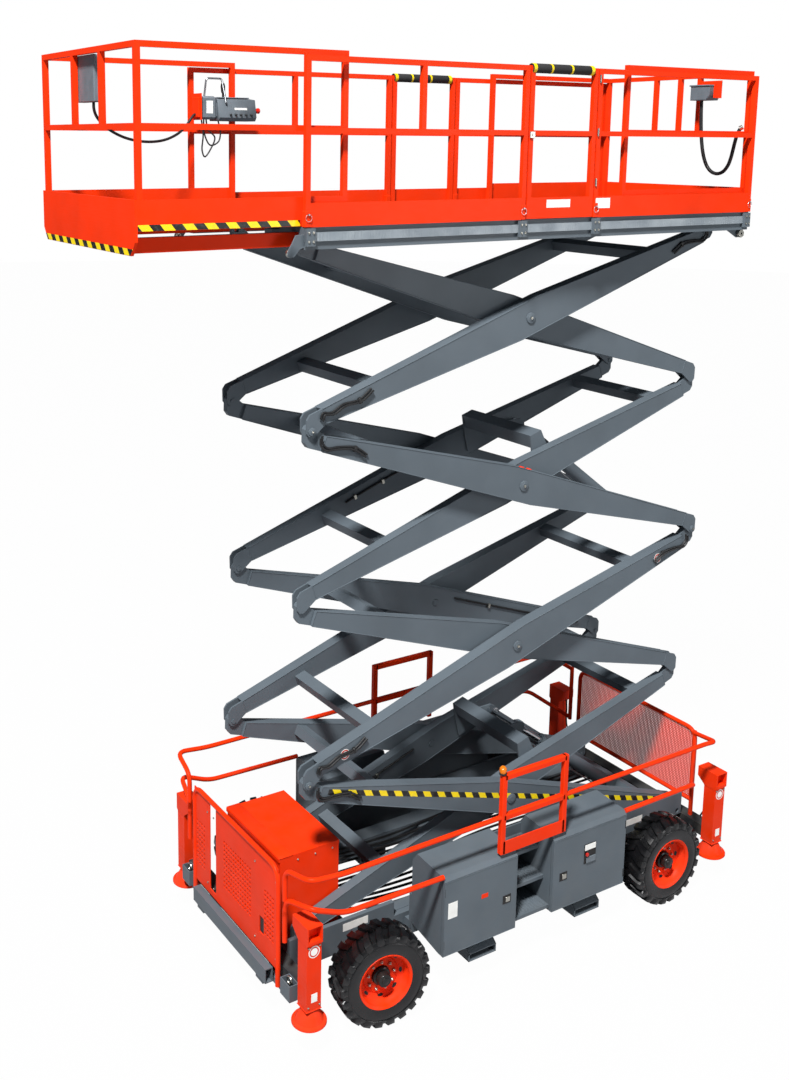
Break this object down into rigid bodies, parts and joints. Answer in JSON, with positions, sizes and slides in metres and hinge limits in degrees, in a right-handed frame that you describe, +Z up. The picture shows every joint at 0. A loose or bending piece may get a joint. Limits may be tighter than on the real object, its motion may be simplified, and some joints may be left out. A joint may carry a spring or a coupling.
{
  "type": "rough terrain scissor lift",
  "caption": "Raised four-wheel scissor lift with crossed arm pairs, railed platform, sliding end decks, outriggers and side cabinets.",
  "frame": {"origin": "centre of the whole object's footprint, on the floor that the tyres stand on", "axes": "+Z up, +X along the machine towards its front deck, +Y to the machine's left"},
  "size_m": [5.685, 2.387, 7.2693],
  "materials": {
    "orange_paint": "glossy orange-red machine paint",
    "grey_paint": "semi-gloss mid grey machine paint",
    "dark_paint": "dark grey chassis paint",
    "tyre_rubber": "dull black tyre rubber",
    "rod_chrome": "polished hard chrome",
    "box_plastic": "grey moulded plastic",
    "cord_rubber": "black rubber sheath"
  },
  "bodies": {
    "chassis": {"chassis_frame": "grey_paint", "front_axle": "dark_paint", "rear_axle": "dark_paint", "front_outrigger_beam": "orange_paint", "rear_outrigger_beam": "orange_paint", "left_cabinets": "grey_paint", "right_cabinets": "grey_paint", "engine_block": "dark_paint", "tank_box": "orange_paint", "front_guard": "orange_paint", "rear_guard": "orange_paint", "left_guard_rails": "orange_paint", "right_guard_rails": "orange_paint"},
    "outer_arms_1_body": {"outer_arms_1": "grey_paint"},
    "inner_arms_1_body": {"inner_arms_1": "grey_paint"},
    "outer_arms_2_body": {"outer_arms_2": "grey_paint"},
    "inner_arms_2_body": {"inner_arms_2": "grey_paint"},
    "outer_arms_3_body": {"outer_arms_3": "grey_paint"},
    "inner_arms_3_body": {"inner_arms_3": "grey_paint"},
    "outer_arms_4_body": {"outer_arms_4": "grey_paint"},
    "inner_arms_4_body": {"inner_arms_4": "grey_paint"},
    "lower_barrel_body": {"lower_lift_barrel": "grey_paint"},
    "lower_rod_body": {"lower_lift_rod": "rod_chrome"},
    "upper_barrel_body": {"upper_lift_barrel": "grey_paint"},
    "upper_rod_body": {"upper_lift_rod": "rod_chrome"},
    "platform": {"platform_deck": "grey_paint", "left_front_rail": "orange_paint", "right_front_rail": "orange_paint", "left_rear_rail": "orange_paint", "right_rear_rail": "orange_paint"},
    "front_extension": {"front_extension_rails": "orange_paint", "front_extension_deck": "grey_paint", "control_box": "box_plastic", "document_box": "box_plastic", "control_cable": "cord_rubber"},
    "rear_extension": {"rear_extension_rails": "orange_paint", "rear_extension_deck": "grey_paint", "rear_box": "box_plastic", "rear_hose": "cord_rubber"},
    "left_gate_body": {"left_gate": "orange_paint"},
    "right_gate_body": {"right_gate": "orange_paint"},
    "tank_lid_body": {"tank_lid": "orange_paint"},
    "left_front_door_body": {"left_front_door": "grey_paint"},
    "left_rear_door_body": {"left_rear_door": "grey_paint"},
    "right_front_door_body": {"right_front_door": "grey_paint"},
    "right_rear_door_body": {"right_rear_door": "grey_paint"},
    "front_left_outrigger_body": {"front_left_outrigger_leg": "orange_paint"},
    "front_right_outrigger_body": {"front_right_outrigger_leg": "orange_paint"},
    "rear_left_outrigger_body": {"rear_left_outrigger_leg": "orange_paint"},
    "rear_right_outrigger_body": {"rear_right_outrigger_leg": "orange_paint"},
    "left_knuckle_body": {"left_knuckle": "dark_paint"},
    "right_knuckle_body": {"right_knuckle": "dark_paint"},
    "front_left_wheel": {"front_left_tyre": "tyre_rubber", "front_left_rim": "orange_paint"},
    "front_right_wheel": {"front_right_tyre": "tyre_rubber", "front_right_rim": "orange_paint"},
    "rear_left_wheel": {"rear_left_tyre": "tyre_rubber", "rear_left_rim": "orange_paint"},
    "rear_right_wheel": {"rear_right_tyre": "tyre_rubber", "rear_right_rim": "orange_paint"}
  },
  "joints": [
    {"name": "lift", "type": "hinge", "parent": "chassis", "child": "outer_arms_1_body", "pos_m": [-2.6105, 0, 0.518], "axis": [0, -1, 0], "range_deg": [-14.71, 40.25]},
    {"name": "centre_pins_1", "type": "hinge", "parent": "outer_arms_1_body", "child": "inner_arms_1_body", "pos_m": [-0.59354, 0, 1.20267], "axis": [0, -1, 0], "range_deg": [-80.52, 29.44]},
    {"name": "arm_joint_1", "type": "hinge", "parent": "outer_arms_1_body", "child": "outer_arms_2_body", "pos_m": [1.42342, 0, 1.88733], "axis": [0, -1, 0], "range_deg": [-80.52, 29.44]},
    {"name": "centre_pins_2", "type": "hinge", "parent": "outer_arms_2_body", "child": "inner_arms_2_body", "pos_m": [-0.59354, 0, 2.572], "axis": [0, -1, 0], "range_deg": [-29.44, 80.52]},
    {"name": "arm_joint_2", "type": "hinge", "parent": "outer_arms_2_body", "child": "outer_arms_3_body", "pos_m": [-2.6105, 0, 3.25666], "axis": [0, -1, 0], "range_deg": [-29.44, 80.52]},
    {"name": "centre_pins_3", "type": "hinge", "parent": "outer_arms_3_body", "child": "inner_arms_3_body", "pos_m": [-0.59354, 0, 3.94133], "axis": [0, -1, 0], "range_deg": [-80.52, 29.44]},
    {"name": "arm_joint_3", "type": "hinge", "parent": "outer_arms_3_body", "child": "outer_arms_4_body", "pos_m": [1.42342, 0, 4.626], "axis": [0, -1, 0], "range_deg": [-80.52, 29.44]},
    {"name": "centre_pins_4", "type": "hinge", "parent": "outer_arms_4_body", "child": "inner_arms_4_body", "pos_m": [-0.59354, 0, 5.31066], "axis": [0, -1, 0], "range_deg": [-29.44, 80.52]},
    {"name": "platform_pivot", "type": "hinge", "parent": "outer_arms_4_body", "child": "platform", "pos_m": [-2.6105, 0, 5.99533], "axis": [0, -1, 0], "range_deg": [-14.73, 40.27]},
    {"name": "lower_cylinder_pin", "type": "hinge", "parent": "outer_arms_1_body", "child": "lower_barrel_body", "pos_m": [-2.21922, 0, 0.67194], "axis": [0, -1, 0], "range_deg": [-3.24, 1.2]},
    {"name": "lower_rod_slide", "type": "slide", "parent": "lower_barrel_body", "child": "lower_rod_body", "axis": [0.8027, 0, 0.5964], "range_m": [-0.2506, 0.6847]},
    {"name": "upper_cylinder_pin", "type": "hinge", "parent": "outer_arms_3_body", "child": "upper_barrel_body", "pos_m": [-2.21922, 0, 3.41061], "axis": [0, -1, 0], "range_deg": [-3.24, 1.2]},
    {"name": "upper_rod_slide", "type": "slide", "parent": "upper_barrel_body", "child": "upper_rod_body", "axis": [0.8027, 0, 0.5964], "range_m": [-0.2506, 0.6847]},
    {"name": "front_deck_slide", "type": "slide", "parent": "platform", "child": "front_extension", "axis": [1, 0, 0], "range_m": [-1.12, 0]},
    {"name": "rear_deck_slide", "type": "slide", "parent": "platform", "child": "rear_extension", "axis": [-1, 0, 0], "range_m": [0, 1.2]},
    {"name": "left_gate_hinge", "type": "hinge", "parent": "platform", "child": "left_gate_body", "pos_m": [-0.9475, 0.87, 6.73533], "axis": [0, 0, -1], "range_deg": [0, 90]},
    {"name": "right_gate_hinge", "type": "hinge", "parent": "platform", "child": "right_gate_body", "pos_m": [-0.9475, -0.87, 6.73533], "axis": [0, 0, 1], "range_deg": [0, 90]},
    {"name": "tank_lid_hinge", "type": "hinge", "parent": "chassis", "child": "tank_lid_body", "pos_m": [1.5565, 0, 1.17], "axis": [0, 1, 0], "range_deg": [0, 70]},
    {"name": "left_front_door_hinge", "type": "hinge", "parent": "chassis", "child": "left_front_door_body", "pos_m": [0.4665, 1.12, 0.7], "axis": [0, 0, -1], "range_deg": [0, 90]},
    {"name": "left_rear_door_hinge", "type": "hinge", "parent": "chassis", "child": "left_rear_door_body", "pos_m": [-1.4835, 1.12, 0.7], "axis": [0, 0, 1], "range_deg": [0, 90]},
    {"name": "right_front_door_hinge", "type": "hinge", "parent": "chassis", "child": "right_front_door_body", "pos_m": [0.4665, -1.12, 0.7], "axis": [0, 0, 1], "range_deg": [0, 90]},
    {"name": "right_rear_door_hinge", "type": "hinge", "parent": "chassis", "child": "right_rear_door_body", "pos_m": [-1.4835, -1.12, 0.7], "axis": [0, 0, -1], "range_deg": [0, 90]},
    {"name": "front_left_outrigger_slide", "type": "slide", "parent": "chassis", "child": "front_left_outrigger_body", "axis": [0, 0, -1], "range_m": [0, 0.4]},
    {"name": "front_right_outrigger_slide", "type": "slide", "parent": "chassis", "child": "front_right_outrigger_body", "axis": [0, 0, -1], "range_m": [0, 0.4]},
    {"name": "rear_left_outrigger_slide", "type": "slide", "parent": "chassis", "child": "rear_left_outrigger_body", "axis": [0, 0, -1], "range_m": [0, 0.4]},
    {"name": "rear_right_outrigger_slide", "type": "slide", "parent": "chassis", "child": "rear_right_outrigger_body", "axis": [0, 0, -1], "range_m": [0, 0.4]},
    {"name": "left_steering", "type": "hinge", "parent": "chassis", "child": "left_knuckle_body", "pos_m": [0.9665, 0.79, 0.388], "axis": [0, 0, 1], "range_deg": [-22, 38]},
    {"name": "right_steering", "type": "hinge", "parent": "chassis", "child": "right_knuckle_body", "pos_m": [0.9665, -0.79, 0.388], "axis": [0, 0, 1], "range_deg": [-22, 38]},
    {"name": "front_left_wheel_spin", "type": "hinge", "parent": "left_knuckle_body", "child": "front_left_wheel", "pos_m": [0.99795, 1.0138, 0.388], "axis": [0.1392, 0.9903, 0], "continuous": true},
    {"name": "rear_left_wheel_spin", "type": "hinge", "parent": "chassis", "child": "rear_left_wheel", "pos_m": [-2.0485, 1.016, 0.388], "axis": [0, 1, 0], "continuous": true},
    {"name": "front_right_wheel_spin", "type": "hinge", "parent": "right_knuckle_body", "child": "front_right_wheel", "pos_m": [0.93505, -1.0138, 0.388], "axis": [0.1392, 0.9903, 0], "continuous": true},
    {"name": "rear_right_wheel_spin", "type": "hinge", "parent": "chassis", "child": "rear_right_wheel", "pos_m": [-2.0485, -1.016, 0.388], "axis": [0, 1, 0], "continuous": true}
  ],
  "couplings": [
    {"joint": "centre_pins_1", "follows": "lift", "ratio": -2},
    {"joint": "arm_joint_1", "follows": "lift", "ratio": -2},
    {"joint": "centre_pins_2", "follows": "lift", "ratio": 2},
    {"joint": "arm_joint_2", "follows": "lift", "ratio": 2},
    {"joint": "centre_pins_3", "follows": "lift", "ratio": -2},
    {"joint": "arm_joint_3", "follows": "lift", "ratio": -2},
    {"joint": "centre_pins_4", "follows": "lift", "ratio": 2},
    {"joint": "platform_pivot", "follows": "lift", "ratio": 1},
    {"joint": "lower_cylinder_pin", "follows": "lift", "ratio": -0.08},
    {"joint": "lower_rod_slide", "follows": "lift", "m_per_rad": 0.974},
    {"joint": "upper_cylinder_pin", "follows": "lift", "ratio": -0.08},
    {"joint": "upper_rod_slide", "follows": "lift", "m_per_rad": 0.974},
    {"joint": "right_steering", "follows": "left_steering", "ratio": 1}
  ]
}
